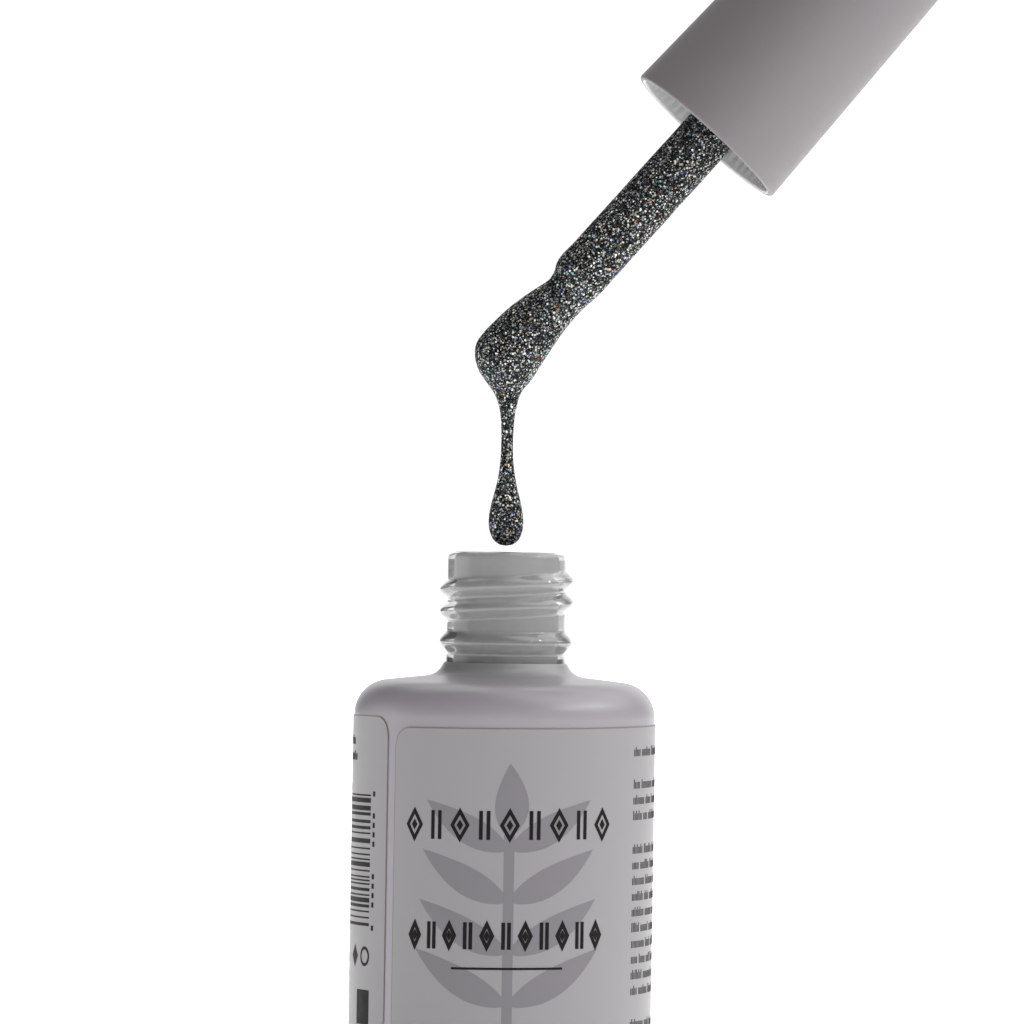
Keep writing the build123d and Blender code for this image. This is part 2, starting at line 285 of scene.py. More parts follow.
# ---------------------------------------------------------------------------------- finishes
class Nodes:
    """A short way to build one material's node tree round a Principled shader."""

    def __init__(self, name: str) -> None:
        """Start a material with its shader and Object coordinates."""
        self.material = bpy.data.materials.get(name) or bpy.data.materials.new(name)
        self.material.use_nodes = True
        self.tree = self.material.node_tree
        self.shader = self.tree.nodes["Principled BSDF"]
        self.coordinates = self.add("ShaderNodeTexCoord")

    def add(self, kind: str, **settings: object) -> bpy.types.Node:
        """Add a node and set its own properties."""
        node = self.tree.nodes.new(kind)
        for name, value in settings.items():
            setattr(node, name, value)
        return node

    def link(self, source: bpy.types.NodeSocket, target: bpy.types.NodeSocket) -> None:
        """Link two sockets."""
        self.tree.links.new(source, target)

    def set(self, **values: object) -> None:
        """Set plain values on the shader's sockets, with spaces written as underscores."""
        for name, value in values.items():
            self.shader.inputs[name.replace("_", " ")].default_value = value

    def noise(self, scale: float, detail: float = 3.0, roughness: float = 0.5) -> bpy.types.NodeSocket:
        """Noise over Object coordinates, scale in cells per metre."""
        node = self.add("ShaderNodeTexNoise")
        node.inputs["Scale"].default_value = scale
        node.inputs["Detail"].default_value = detail
        node.inputs["Roughness"].default_value = roughness
        self.link(self.coordinates.outputs["Object"], node.inputs["Vector"])
        return node.outputs["Fac"]

    def cells(self, scale: float, feature: str = "F1") -> bpy.types.Node:
        """Voronoi cells over Object coordinates, scale in cells per metre."""
        node = self.add("ShaderNodeTexVoronoi", feature=feature)
        node.inputs["Scale"].default_value = scale
        self.link(self.coordinates.outputs["Object"], node.inputs["Vector"])
        return node

    def ramp(
        self, source: bpy.types.NodeSocket, low: float, high: float, to_low: float, to_high: float
    ) -> bpy.types.NodeSocket:
        """Map a value from one range to another, held at its ends."""
        node = self.add("ShaderNodeMapRange")
        for name, value in zip(("From Min", "From Max", "To Min", "To Max"), (low, high, to_low, to_high)):
            node.inputs[name].default_value = value
        self.link(source, node.inputs["Value"])
        return node.outputs["Result"]

    def maths(self, operation: str, first: object, second: object) -> bpy.types.NodeSocket:
        """A sum of two sockets or plain numbers."""
        node = self.add("ShaderNodeMath", operation=operation)
        for socket, value in zip(node.inputs, (first, second)):
            if isinstance(value, (int, float)):
                socket.default_value = value
            else:
                self.link(value, socket)
        return node.outputs["Value"]

    def mix(self, share: object, first: object, second: object) -> bpy.types.NodeSocket:
        """A mix of two colours, each a socket or plain values, by a share."""
        node = self.add("ShaderNodeMix", data_type="RGBA")
        for socket, value in zip((node.inputs[0], node.inputs[6], node.inputs[7]), (share, first, second)):
            if isinstance(value, (int, float)):
                socket.default_value = value
            elif isinstance(value, tuple):
                socket.default_value = (*value, 1.0)
            else:
                self.link(value, socket)
        return node.outputs[2]

    def bump(self, height: bpy.types.NodeSocket, depth: float, strength: float = 1.0) -> bpy.types.Node:
        """Bump from a height, depth in metres, on the shader's normal."""
        node = self.add("ShaderNodeBump")
        node.inputs["Strength"].default_value = strength
        node.inputs["Distance"].default_value = depth
        self.link(height, node.inputs["Height"])
        self.link(node.outputs["Normal"], self.shader.inputs["Normal"])
        return node


class Finish:
    """A finish that can be made into a material."""

    def material(self) -> bpy.types.Material:
        """The finish's material."""
        raise NotImplementedError


@dataclass(frozen=True)
class ClearGlass(Finish):
    """Pressed flint glass, faintly grey and not quite even."""

    name: str = "flint_glass"
    tint: tuple[float, float, float] = (0.80, 0.80, 0.80)
    ripple: float = 0.02 * MM

    def material(self) -> bpy.types.Material:
        """Glass with a slow ripple of the mould in it."""
        nodes = Nodes(self.name)
        nodes.set(Roughness=0.10, IOR=1.5, Transmission_Weight=0.80, Coat_Weight=0.5, Coat_Roughness=0.02)
        colour = nodes.mix(nodes.noise(220.0), self.tint, tuple(0.97 * c for c in self.tint))
        nodes.link(colour, nodes.shader.inputs["Base Color"])
        nodes.bump(nodes.noise(420.0, 1.0), self.ripple, 0.35)
        return nodes.material


@dataclass(frozen=True)
class MouldedPlastic(Finish):
    """Moulded or sprayed plastic: an even colour with soft clouding and a fine grain."""

    name: str
    colour: tuple[float, float, float]
    roughness: float = 0.45
    grain: float = 0.004 * MM
    grain_scale: float = 9000.0
    cloud: float = 0.06
    specular: float = 0.5

    def material(self) -> bpy.types.Material:
        """Colour, clouding, uneven gloss and grain."""
        nodes = Nodes(self.name)
        nodes.set(IOR=1.46, Specular_IOR_Level=self.specular)
        darker = tuple(c * (1 - self.cloud) for c in self.colour)
        colour = nodes.mix(nodes.noise(160.0, 4.0), darker, self.colour)
        nodes.link(colour, nodes.shader.inputs["Base Color"])
        rough = nodes.ramp(nodes.noise(700.0), 0.3, 0.7, self.roughness * 0.92, self.roughness * 1.08)
        nodes.link(rough, nodes.shader.inputs["Roughness"])
        nodes.bump(nodes.noise(self.grain_scale, 2.0), self.grain)
        return nodes.material


@dataclass(frozen=True)
class SprayedLacquer(Finish):
    """Matte lavender-grey lacquer that thins to neutral grey overspray at the neck's root."""

    name: str = "lavender_lacquer"
    colour: tuple[float, float, float] = (0.345, 0.322, 0.352)
    overspray: tuple[float, float, float] = (0.36, 0.36, 0.36)
    fade_start: float = 38.5 * MM
    fade_end: float = 39.6 * MM
    roughness: float = 0.33

    def material(self) -> bpy.types.Material:
        """Colour by height, fine orange peel and an uneven satin."""
        nodes = Nodes(self.name)
        nodes.set(IOR=1.5, Specular_IOR_Level=0.8)
        split = nodes.add("ShaderNodeSeparateXYZ")
        nodes.link(nodes.coordinates.outputs["Object"], split.inputs["Vector"])
        wander = nodes.ramp(nodes.noise(300.0), 0, 1, -0.3 * MM, 0.3 * MM)
        height = nodes.maths("ADD", split.outputs["Z"], wander)
        share = nodes.ramp(height, self.fade_start, self.fade_end, 0.0, 1.0)
        darker = tuple(0.95 * c for c in self.colour)
        body = nodes.mix(nodes.noise(130.0, 4.0), darker, self.colour)
        nodes.link(nodes.mix(share, body, self.overspray), nodes.shader.inputs["Base Color"])
        rough = nodes.ramp(nodes.noise(500.0), 0.3, 0.7, self.roughness * 0.94, self.roughness * 1.06)
        nodes.link(rough, nodes.shader.inputs["Roughness"])
        nodes.bump(nodes.noise(3500.0, 3.0), 0.004 * MM)
        return nodes.material


@dataclass(frozen=True)
class FlakeLayer:
    """One size of flake in the gel: how many to the metre, how many show and how bright they are."""

    scale: float
    hidden: float
    power: float
    bright: float


@dataclass(frozen=True)
class GlitterGel(Finish):
    """Near-black gel packed with silver flakes, a few of them coloured, under a wet surface."""

    name: str = "glitter_gel"
    base: tuple[float, float, float] = (0.0035, 0.0040, 0.0050)
    silver: tuple[float, float, float] = (0.93, 0.94, 0.90)
    layers: tuple[FlakeLayer, ...] = (
        FlakeLayer(11500.0, 0.30, 2.8, 0.34),
        FlakeLayer(6600.0, 0.55, 2.0, 1.2),
        FlakeLayer(4300.0, 0.68, 1.3, 1.3),
    )
    colours: tuple[tuple[float, tuple[float, float, float]], ...] = (
        (0.70, (0.86, 0.88, 0.66)),
        (0.82, (0.66, 0.80, 1.00)),
        (0.93, (0.10, 0.20, 1.00)),
        (0.955, (1.00, 0.36, 0.10)),
        (0.975, (0.10, 0.60, 0.62)),
    )
    tilt: float = 1.2

    def flakes(
        self, nodes: Nodes, layer: FlakeLayer, under: object
    ) -> tuple[bpy.types.NodeSocket, bpy.types.NodeSocket, bpy.types.Node]:
        """One layer of flakes.

        Args:
            nodes: The material's nodes.
            layer: The size and the brightness of the flakes.
            under: The colour below, a socket or plain values.

        Returns:
            The colour, where the flakes are, and the cells.
        """
        cells = nodes.cells(layer.scale)
        split = nodes.add("ShaderNodeSeparateColor")
        nodes.link(cells.outputs["Color"], split.inputs["Color"])
        inside = nodes.ramp(cells.outputs["Distance"], 0.36, 0.56, 1.0, 0.0)
        shown = nodes.ramp(split.outputs["Red"], layer.hidden, 1.0, 0.0, 1.0)
        bright = nodes.maths("POWER", shown, layer.power)
        share = nodes.maths("MULTIPLY", inside, nodes.maths("MULTIPLY", bright, layer.bright))
        hue = nodes.add("ShaderNodeValToRGB")
        hue.color_ramp.interpolation = "CONSTANT"
        hue.color_ramp.elements[0].color = (*self.silver, 1.0)
        hue.color_ramp.elements[1].position = self.colours[0][0]
        hue.color_ramp.elements[1].color = (*self.colours[0][1], 1.0)
        for position, colour in self.colours[1:]:
            hue.color_ramp.elements.new(position).color = (*colour, 1.0)
        nodes.link(split.outputs["Green"], hue.inputs["Fac"])
        return nodes.mix(share, under, hue.outputs["Color"]), share, cells

    def material(self) -> bpy.types.Material:
        """Dust under small and large flakes, each large one at its own tilt, under a thin wet skin."""
        nodes = Nodes(self.name)
        nodes.set(IOR=1.48, Coat_Weight=0.07, Coat_Roughness=0.07, Coat_IOR=1.48, Specular_IOR_Level=0.02)
        colour, shares, cells = self.base, [], None
        for layer in self.layers:
            colour, share, cells = self.flakes(nodes, layer, colour)
            shares.append(share)
        nodes.link(colour, nodes.shader.inputs["Base Color"])
        shining = nodes.maths("MAXIMUM", shares[-1], shares[-2])
        nodes.link(nodes.ramp(shining, 0.0, 0.4, 0.0, 0.35), nodes.shader.inputs["Metallic"])
        nodes.link(nodes.ramp(shining, 0.0, 0.5, 0.55, 0.3), nodes.shader.inputs["Roughness"])
        tilt = nodes.add("ShaderNodeVectorMath", operation="SUBTRACT")
        nodes.link(cells.outputs["Color"], tilt.inputs[0])
        tilt.inputs[1].default_value = (0.5, 0.5, 0.5)
        scaled = nodes.add("ShaderNodeVectorMath", operation="SCALE")
        nodes.link(tilt.outputs["Vector"], scaled.inputs[0])
        nodes.link(nodes.maths("MULTIPLY", shining, self.tilt), scaled.inputs["Scale"])
        facing = nodes.add("ShaderNodeNewGeometry")
        total = nodes.add("ShaderNodeVectorMath", operation="ADD")
        nodes.link(facing.outputs["Normal"], total.inputs[0])
        nodes.link(scaled.outputs["Vector"], total.inputs[1])
        unit = nodes.add("ShaderNodeVectorMath", operation="NORMALIZE")
        nodes.link(total.outputs["Vector"], unit.inputs[0])
        nodes.link(unit.outputs["Vector"], nodes.shader.inputs["Normal"])
        return nodes.material


@dataclass(frozen=True)
class BrushedSteel(Finish):
    """Drawn flat wire."""

    name: str = "flat_wire"

    def material(self) -> bpy.types.Material:
        """Steel with fine drawing lines."""
        nodes = Nodes(self.name)
        nodes.set(Metallic=1.0)
        colour = nodes.mix(nodes.noise(5000.0), (0.55, 0.55, 0.56), (0.72, 0.72, 0.72))
        nodes.link(colour, nodes.shader.inputs["Base Color"])
        nodes.link(nodes.ramp(nodes.noise(2500.0), 0, 1, 0.25, 0.4), nodes.shader.inputs["Roughness"])
        return nodes.material


LINING = MouldedPlastic("lining_coat", (0.44, 0.44, 0.44), roughness=0.5, grain=0.002 * MM)
LABEL = MouldedPlastic("label_film", (0.318, 0.309, 0.317), roughness=0.38, grain=0.0015 * MM, cloud=0.03)
# Colour of the label's border band: partly the darker glue line, partly painted shade where the film's cut
# edge stands off the lacquer.
LABEL_EDGE_GLUE_AND_SHADE = MouldedPlastic("label_edge_glue_and_painted_shade", (0.235, 0.205, 0.195), roughness=0.5)
PALE_INK = MouldedPlastic("pale_ink", (0.212, 0.200, 0.217), roughness=0.42, cloud=0.04)
DARK_INK = MouldedPlastic("dark_ink", (0.007, 0.0055, 0.006), roughness=0.55, specular=0.2)
OVERCAP = MouldedPlastic("soft_touch_cap", (0.228, 0.210, 0.218), roughness=0.5, grain=0.006 * MM)
CAP_INSIDE = MouldedPlastic("bare_cap_plastic", (0.60, 0.60, 0.60), roughness=0.4)
CLOSURE = MouldedPlastic("closure_polymer", (0.10, 0.10, 0.105), roughness=0.45)
STEM = MouldedPlastic("stem_polymer", (0.02, 0.02, 0.022), roughness=0.3)
FOAM = MouldedPlastic("liner_foam", (0.62, 0.61, 0.58), roughness=0.8, grain=0.03 * MM, grain_scale=5000.0)
FILAMENT = MouldedPlastic(
    "brush_filament", (0.03, 0.03, 0.032), roughness=0.35, grain=0.03 * MM, grain_scale=6000.0
)


# ---------------------------------------------------------------------------------- the bottle
@dataclass
class Bottle:
    """The glass with its neck finish, the coat inside it, the lacquer outside it and the gel."""

    shoulder_slope: float = 6.5
    shoulder_height: float = 39.0 * MM
    shoulder_radius: float = 3.2 * MM
    heel_radius: float = 2.0 * MM
    neck_radius: float = 5.74 * MM
    neck_root_radius: float = 2.0 * MM
    bore_radius: float = 3.35 * MM
    rim_edge_radius: float = 0.7 * MM
    bore_edge_radius: float = 0.6 * MM
    wall: float = 1.9 * MM
    shoulder_wall: float = 2.2 * MM
    base_thickness: float = 4.5 * MM
    cavity_corner: float = 2.4 * MM
    push_up: float = 0.9 * MM
    foot_radius: float = 11.25 * MM
    push_up_sweep: float = 70.8 * MM
    lacquer_thickness: float = 0.15 * MM
    lacquer_bottom: float = 0.5 * MM
    lining_thickness: float = 0.12 * MM
    lining_bite: float = 0.02 * MM
    lining_drop: float = 0.45 * MM
    meniscus: float = 0.9 * MM
    thread_pitch: float = 2.117 * MM
    thread_drop: float = 2.7 * MM
    thread_height: float = 0.74 * MM
    thread_half_width: float = 0.94 * MM
    thread_turns: tuple[float, float] = (-1.66, 0.16)
    thread_fade: float = 0.2
    bead_drop: float = 8.74 * MM
    bead_height: float = 0.68 * MM
    bead_half_width: float = 1.08 * MM
    steps: int = 240
    rim: float = field(init=False)
    glass_radius: float = field(init=False)
    slope: float = field(init=False)
    cavity_radius: float = field(init=False)

    def __post_init__(self) -> None:
        """Take the overall sizes from the CAD glass."""
        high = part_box("glass_bottle")[1]
        self.rim, self.glass_radius = high.z, high.x
        self.slope = math.tan(math.radians(self.shoulder_slope))
        self.cavity_radius = self.glass_radius - self.wall

    def outside(self, grow: float = 0.0) -> list[tuple[float, float]]:
        """The outside from the foot to the neck's root, moved outwards by grow."""
        edge = self.shoulder_height - (self.glass_radius - self.neck_radius) * self.slope
        return rounded(
            [
                (self.foot_radius, -grow),
                (self.glass_radius + grow, -grow),
                (self.glass_radius + grow, edge + grow),
                (self.neck_radius + grow, self.shoulder_height + grow),
                (self.neck_radius + grow, self.shoulder_height + self.neck_root_radius + grow),
            ],
            [self.heel_radius + grow, self.shoulder_radius + grow, self.neck_root_radius - grow],
            count=12,
        )

    def inside(self, shrink: float = 0.0) -> list[tuple[float, float]]:
        """The hollow from the middle of its floor to the bore, moved inwards by shrink."""
        rise = (self.neck_radius - self.bore_radius) * self.slope
        throat = self.shoulder_height + rise - self.shoulder_wall
        edge = throat - (self.cavity_radius - self.bore_radius) * self.slope
        corner = self.cavity_corner - shrink
        return rounded(
            [
                (0.0, self.base_thickness + shrink),
                (self.cavity_radius - shrink, self.base_thickness + shrink),
                (self.cavity_radius - shrink, edge - shrink),
                (self.bore_radius - shrink, throat - shrink),
                (self.bore_radius - shrink, throat + self.cavity_corner),
            ],
            [corner, corner, self.cavity_corner],
            count=10,
        )

    def thread(self, azimuth: float, height: float) -> float:
        """How far the thread stands out of the neck at an azimuth and a height."""
        first, last = self.thread_turns
        share = azimuth / FULL_TURN
        raised = 0.0
        for turn in range(math.floor(first) - 1, math.ceil(last) + 1):
            place = share + turn
            if not first <= place <= last:
                continue
            offset = height - (self.rim - self.thread_drop + self.thread_pitch * place)
            reach = min(place - first, last - place) / self.thread_fade
            fullness = math.sin(min(reach, 1.0) * math.pi / 2) ** 1.5
            raised = max(raised, self.swell(offset, self.thread_half_width) * self.thread_height * fullness)
        return raised

    @staticmethod
    def swell(offset: float, half_width: float) -> float:
        """A rounded ridge with soft roots, 1 at its crest and 0 from half_width on."""
        share = abs(offset) / half_width
        return (1 - share**2) ** 1.35 if share < 1 else 0.0

    def glass(self) -> bpy.types.Object:
        """The glass: a turned wall whose neck carries the thread and the transfer bead."""
        neck = rounded(
            [
                self.outside()[-1],
                (self.neck_radius, self.rim),
                (self.bore_radius, self.rim),
                (self.bore_radius, self.inside()[-1][1]),
            ],
            [self.rim_edge_radius, self.bore_edge_radius],
        )
        foot = arc((0.0, self.push_up - self.push_up_sweep), self.push_up_sweep, 90.0, 81.0, 9)
        foot = [(r, max(z, 0.0)) for r, z in foot if r < self.foot_radius]
        outline = foot + self.outside() + spaced(neck, 0.11 * MM)[1:-1] + self.inside()[::-1]
        piece = lathe("glass_wall", outline, self.steps)
        bead = self.rim - self.bead_drop
        root = self.shoulder_height + 1.2 * MM

        def shift(radius: float, azimuth: float, height: float) -> float:
            """Thread and bead, on the outside of the neck alone."""
            if radius < self.neck_radius - 0.05 * MM or height < root or radius > self.neck_radius + MM:
                return 0.0
            ring = self.swell(height - bead, self.bead_half_width) * self.bead_height
            return max(self.thread(azimuth, height), ring)

        radial_shift(piece, shift)
        smooth(piece, 50.0)
        return piece

    def lining(self) -> bpy.types.Object:
        """The opaque coat inside, let a hair into the glass so that no air shows between them."""
        top = self.rim - self.lining_drop
        outer = self.inside(-self.lining_bite) + [(self.bore_radius + self.lining_bite, top)]
        inner = [(self.bore_radius - self.lining_thickness, top)] + self.inside(self.lining_thickness)[::-1]
        piece = lathe("lining_coat", outer + inner, 128)
        smooth(piece)
        return piece

    def lacquer(self) -> bpy.types.Object:
        """The sprayed coat, from just above the foot to the neck's root."""
        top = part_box("body_lacquer")[1].z
        coat = [
            p
            for p in self.outside(self.lacquer_thickness)
            if self.lacquer_bottom <= p[1] <= top and p[0] > self.neck_radius
        ]
        wall = [p for p in self.outside() if self.lacquer_bottom <= p[1] <= top and p[0] >= self.neck_radius]
        edge = [(wall[-1][0] + 0.02 * MM, top)]
        piece = lathe("lacquer_coat", coat + edge + wall[::-1], 192, ring=True)
        smooth(piece)
        return piece

    def gel(self) -> bpy.types.Object:
        """The gel in the bottle, drawn up a little where it meets the wall."""
        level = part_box("gel_fill")[1].z
        wall = self.cavity_radius - self.lining_thickness
        below = [p for p in self.inside(self.lining_thickness) if p[1] < level - self.meniscus and p[0] > 0]
        curve = []
        for step in range(13):
            share = step / 12
            curve.append((wall * math.cos(share * math.pi / 2) ** 0.35, level - self.meniscus * share**0.5))
        floor = [(0.0, self.base_thickness + self.lining_thickness)]
        piece = lathe("gel_pool", floor + below + curve[:-1] + [(0.0, level - self.meniscus)], 96)
        smooth(piece)
        return piece

    def build(self) -> None:
        """Make and dress the bottle's pieces."""
        dress(self.glass(), ClearGlass(), Body.BOTTLE, ["glass_bottle"])
        dress(self.lining(), LINING, Body.BOTTLE, ["inner_lining"])
        dress(self.lacquer(), SprayedLacquer(), Body.BOTTLE, ["body_lacquer"])
        dress(self.gel(), GlitterGel(), Body.BOTTLE, ["gel_fill"])


# ---------------------------------------------------------------------------------- the label
@dataclass
class Label:
    """A film label wrapped once round the body, slightly askew, with generic printing.

    Flat positions are (along, up): along the wrap from the label's left end, up from its lower edge.
    """

    height: float = 30.7 * MM
    gap: float = 1.05 * MM
    start_azimuth: float = -135.0
    skew: float = 0.97 * MM
    thickness: float = 0.08 * MM
    corner_radius: float = 1.8 * MM
    edge_width: float = 0.09 * MM
    ink: float = 0.012 * MM
    steps: int = 420

    def __post_init__(self) -> None:
        """Take the label's radius and place from the CAD label."""
        low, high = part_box("wrap_label")
        self.radius = high.x - 0.1 * MM
        self.bottom = low.z
        self.length = FULL_TURN * self.radius - self.gap

    def front(self, azimuth: float) -> float:
        """How far along the label an azimuth lies, in degrees from the front, right positive."""
        return math.radians(azimuth - 90.0 - self.start_azimuth) * self.radius

    def wrap(self, piece: bpy.types.Object, lift: float = 0.0) -> None:
        """Roll a flat piece round the body, lift above the lacquer."""
        for vertex in piece.data.vertices:
            along, up, out = vertex.co
            azimuth = math.radians(self.start_azimuth) + along / self.radius
            reach = self.radius + lift + out
            rise = self.bottom + up + self.skew * along / self.length
            vertex.co = (reach * math.cos(azimuth), reach * math.sin(azimuth), rise)

    def thicken(self, piece: bpy.types.Object, thickness: float) -> None:
        """Give a flat piece a thickness upwards."""
        apply_modifier(piece, "SOLIDIFY", thickness=thickness, offset=1.0)

    def film(self) -> bpy.types.Object:
        """The label itself, with a darker band round its border: the glue line along the cut edge, with the
        edge's shade painted in.
        """
        cut = self.corner_radius

        def place(across: float, up: float) -> tuple[float, float]:
            """A rectangle with rounded ends."""
            along = across * self.length
            inset = max(cut - along, cut - (self.length - along), 0.0)
            trim = cut - math.sqrt(max(cut**2 - inset**2, 0.0))
            return along, trim + up * (self.height - 2 * trim)

        piece = grid("label_film", self.steps, 10, place)
        piece.data.materials.append(LABEL.material())
        piece.data.materials.append(LABEL_EDGE_GLUE_AND_SHADE.material())
        activate(piece)
        bpy.ops.object.mode_set(mode="EDIT")
        bpy.ops.mesh.select_mode(type="FACE")
        bpy.ops.mesh.select_all(action="SELECT")
        bpy.ops.mesh.inset(thickness=self.edge_width, depth=0.0)
        # The outer ring of faces takes the border colour: the glue line with painted edge shade.
        bpy.ops.mesh.select_all(action="INVERT")
        piece.active_material_index = 1
        bpy.ops.object.material_slot_assign()
        bpy.ops.object.mode_set(mode="OBJECT")
        self.thicken(piece, self.thickness)
        self.wrap(piece)
        smooth(piece, 50.0)
        return piece

    def patch(self, left: float, right: float, low: float, high: float) -> bpy.types.Object:
        """A plain printed rectangle, by its flat edges."""
        columns = max(1, round((right - left) / (0.5 * MM)))
        return grid("patch", columns, 1, lambda a, u: (left + a * (right - left), low + u * (high - low)))

    def leaf(self, root: tuple[float, float], length: float, width: float, angle: float) -> bpy.types.Object:
        """A pointed leaf from its root, leaning by an angle in degrees from upright."""
        lean = math.radians(angle)

        def place(across: float, up: float) -> tuple[float, float]:
            """Width that swells and closes again along a gently curved rib."""
            half = width / 2 * math.sin(math.pi * up**0.8) ** 0.9
            side = (across - 0.5) * 2 * half + 0.12 * length * up * (1 - up) * math.copysign(1, angle)
            reach = up * length
            return (
                root[0] + side * math.cos(lean) + reach * math.sin(lean),
                root[1] - side * math.sin(lean) + reach * math.cos(lean),
            )

        return grid("leaf", 4, 14, place)

    def diamond(self, centre: tuple[float, float], width: float, height: float) -> bpy.types.Object:
        """A small printed lozenge."""

        def place(across: float, up: float) -> tuple[float, float]:
            """A square turned on its corner."""
            x, y = across - 0.5, up - 0.5
            return centre[0] + (x - y) * width, centre[1] + (x + y) * height

        return grid("diamond", 2, 2, place)

    def frame_mark(
        self, centre: tuple[float, float], width: float, height: float, line: float
    ) -> bpy.types.Object:
        """A printed lozenge outline."""

        def place(across: float, up: float) -> tuple[float, float]:
            """A band folded round the four corners."""
            side, share = divmod(across * 4, 1)
            corners = ((0.5, 0.0), (0.0, 0.5), (-0.5, 0.0), (0.0, -0.5), (0.5, 0.0), (0.0, 0.5))
            start, end = corners[int(side)], corners[int(side) + 1]
            shrink = 1 - up * 2.2 * line / min(width, height)
            x, y = (a + (b - a) * share for a, b in zip(start, end))
            return centre[0] + x * width * shrink, centre[1] + y * height * shrink

        return grid("frame_mark", 8, 1, place)

    def ring(self, centre: tuple[float, float], radius: float, line: float) -> bpy.types.Object:
        """A printed ring."""

        def place(across: float, up: float) -> tuple[float, float]:
            """A band bent into a circle."""
            reach = radius - line * up
            return (
                centre[0] + reach * math.cos(across * FULL_TURN),
                centre[1] + reach * math.sin(across * FULL_TURN),
            )

        return grid("ring", 28, 1, place)

    def sprig(self) -> list[bpy.types.Object]:
        """A large pale sprig of paired leaves, the label's ornament."""
        middle, top = self.front(2.6), 26.4 * MM
        marks = [self.patch(middle - 0.5 * MM, middle + 0.5 * MM, 1.5 * MM, top - 3.5 * MM)]
        marks.append(self.leaf((middle, top - 6.0 * MM), 7.0 * MM, 3.2 * MM, 0.01))
        for pair in range(4):
            root = top - (7.2 + 4.9 * pair) * MM
            size = (9.4 + 0.4 * pair) * MM
            for side in (-1, 1):
                marks.append(self.leaf((middle, root), size, 2.7 * MM, side * 60.0))
        return marks

    def band(
        self, left: float, right: float, low: float, high: float, count: int, line: float
    ) -> list[bpy.types.Object]:
        """A row of lozenges and paired strokes that stands where a title would."""
        marks = []
        pitch = (right - left) / count
        middle = (low + high) / 2
        for place in range(count):
            centre = left + (place + 0.5) * pitch
            if place % 2 == 0:
                marks.append(self.frame_mark((centre, middle), pitch * 0.80, high - low, line))
                marks.append(self.diamond((centre, middle), line * 0.9, line * 1.5))
            else:
                for shift in (-0.15, 0.15):
                    edge = centre + shift * pitch - line / 2
                    marks.append(self.patch(edge, edge + line, low + 0.12 * pitch, high - 0.12 * pitch))
        return marks

    def greek(
        self, left: float, right: float, feet: Sequence[float], height: float
    ) -> list[bpy.types.Object]:
        """Rows of tiny uprights in word-like groups, standing for small print."""
        marks = []
        draw = np.random.default_rng(11)
        for foot in feet:
            along = left
            while along < right - 0.8 * MM:
                for _ in range(int(draw.integers(4, 12))):
                    tall = height * float(draw.choice([0.72, 0.72, 0.72, 1.0]))
                    if along < right:
                        marks.append(self.patch(along, along + 0.15 * MM, foot, foot + tall))
                    along += 0.27 * MM
                along += 0.3 * MM
        return marks

    def stripes(self, left: float, right: float, low: float, high: float) -> list[bpy.types.Object]:
        """A generic stack of thick and thin lines, with no numbers."""
        marks = []
        draw = np.random.default_rng(5)
        up = low
        while up < high:
            line = float(draw.choice([0.16, 0.16, 0.3, 0.45])) * MM
            marks.append(self.patch(left, right, up, min(up + line, high)))
            up += line + float(draw.choice([0.18, 0.3, 0.42])) * MM
        return marks

    def print(self, name: str, marks: Sequence[bpy.types.Object], ink: Finish, layer: int) -> None:
        """Turn flat marks into one printed piece on the label."""
        piece = join(name, marks)
        self.thicken(piece, self.ink)
        self.wrap(piece, self.thickness + (layer - 1) * self.ink)
        smooth(piece, 60.0)
        dress(piece, ink, Body.BOTTLE)

    def build(self) -> None:
        """Make the label and its printing."""
        settle(self.film(), Body.BOTTLE, ["wrap_label"])
        self.print("print_sprig", self.sprig(), PALE_INK, 1)
        left, right = self.front(-39.5), self.front(45.0)
        title = self.band(left, right, 19.9 * MM, 23.2 * MM, 9, 0.36 * MM)
        title += self.band(left + 0.5 * MM, right - 0.9 * MM, 9.6 * MM, 12.6 * MM, 11, 0.36 * MM)
        title.append(self.patch(self.front(-18.6), self.front(23.6), 7.9 * MM, 8.12 * MM))
        self.print("print_titles", title, DARK_INK, 2)
        feet = [27.9 * MM] + [(24.8 - 1.5 * n) * MM for n in range(3)]
        feet += [(18.6 - 1.5 * n) * MM for n in range(10)] + [1.9 * MM]
        small = self.greek(self.front(58.6), self.front(128.0), feet, 0.9 * MM)
        self.print("print_small_right", small, DARK_INK, 1)
        end = self.length
        left_side = self.stripes(end - 9.0 * MM, end - 2.7 * MM, 10.6 * MM, 23.3 * MM)
        dash_heights = (10.2, 12.4, 13.3, 14.2, 15.1, 18.2, 19.1, 20.0, 20.9, 23.0)
        left_side += [
            self.patch(end - 2.3 * MM, end - 1.9 * MM, up * MM, (up + 0.5) * MM) for up in dash_heights
        ]
        left_side.append(self.ring((end - 3.5 * MM, 7.7 * MM), 0.95 * MM, 0.30 * MM))
        left_side.append(self.diamond((end - 6.0 * MM, 7.7 * MM), 0.9 * MM, 1.1 * MM))
        left_side.append(self.patch(end - 5.2 * MM, end - 2.5 * MM, 1.2 * MM, 4.5 * MM))
        rows = [(26.4 - 1.5 * n) * MM for n in range(16)]
        left_side += self.greek(end - 16.0 * MM, end - 9.8 * MM, rows, 0.9 * MM)
        left_side += self.greek(end - 16.0 * MM, end - 5.9 * MM, [27.9 * MM, 26.4 * MM], 0.9 * MM)
        self.print("print_left_side", left_side, DARK_INK, 1)


